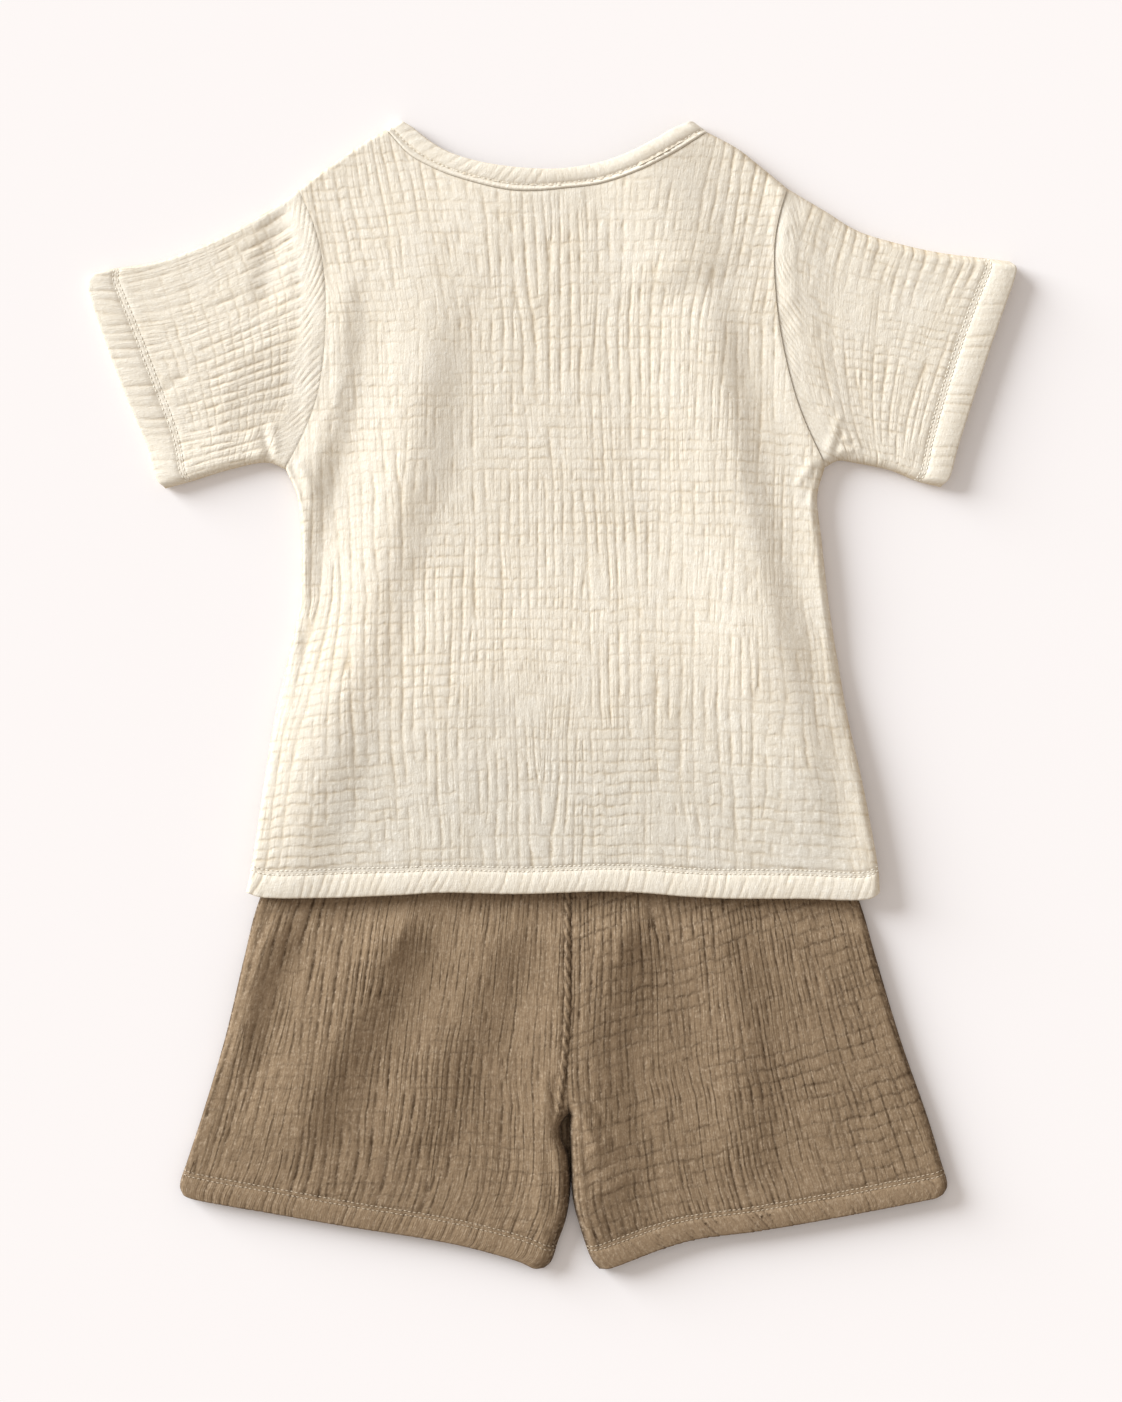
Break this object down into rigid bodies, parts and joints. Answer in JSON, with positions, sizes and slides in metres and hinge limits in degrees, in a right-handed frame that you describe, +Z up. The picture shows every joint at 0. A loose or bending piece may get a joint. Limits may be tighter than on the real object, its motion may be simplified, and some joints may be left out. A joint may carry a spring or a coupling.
{
  "type": "toddler's top and shorts set",
  "caption": "Short-sleeved crinkle-gauze top with a bound round neck, laid flat back up over a pair of pull-on shorts.",
  "frame": {"origin": "on the floor, under the middle of the laid set's outline", "axes": "+Z up off the floor; +Y from the shorts' hems to the neck; +X to the right seen from above"},
  "size_m": [0.4834, 0.5978, 0.0107],
  "materials": {
    "top_gauze": "matt crinkled cotton double gauze, cream",
    "shorts_gauze": "matt crinkled cotton double gauze, taupe brown"
  },
  "bodies": {
    "root": {"top_back": "top_gauze", "top_front": "top_gauze", "sleeve_left": "top_gauze", "sleeve_right": "top_gauze", "neck_band": "top_gauze", "shorts_back_left": "shorts_gauze", "shorts_back_right": "shorts_gauze", "shorts_front_left": "shorts_gauze", "shorts_front_right": "shorts_gauze", "waistband": "shorts_gauze"}
  },
  "joints": []
}
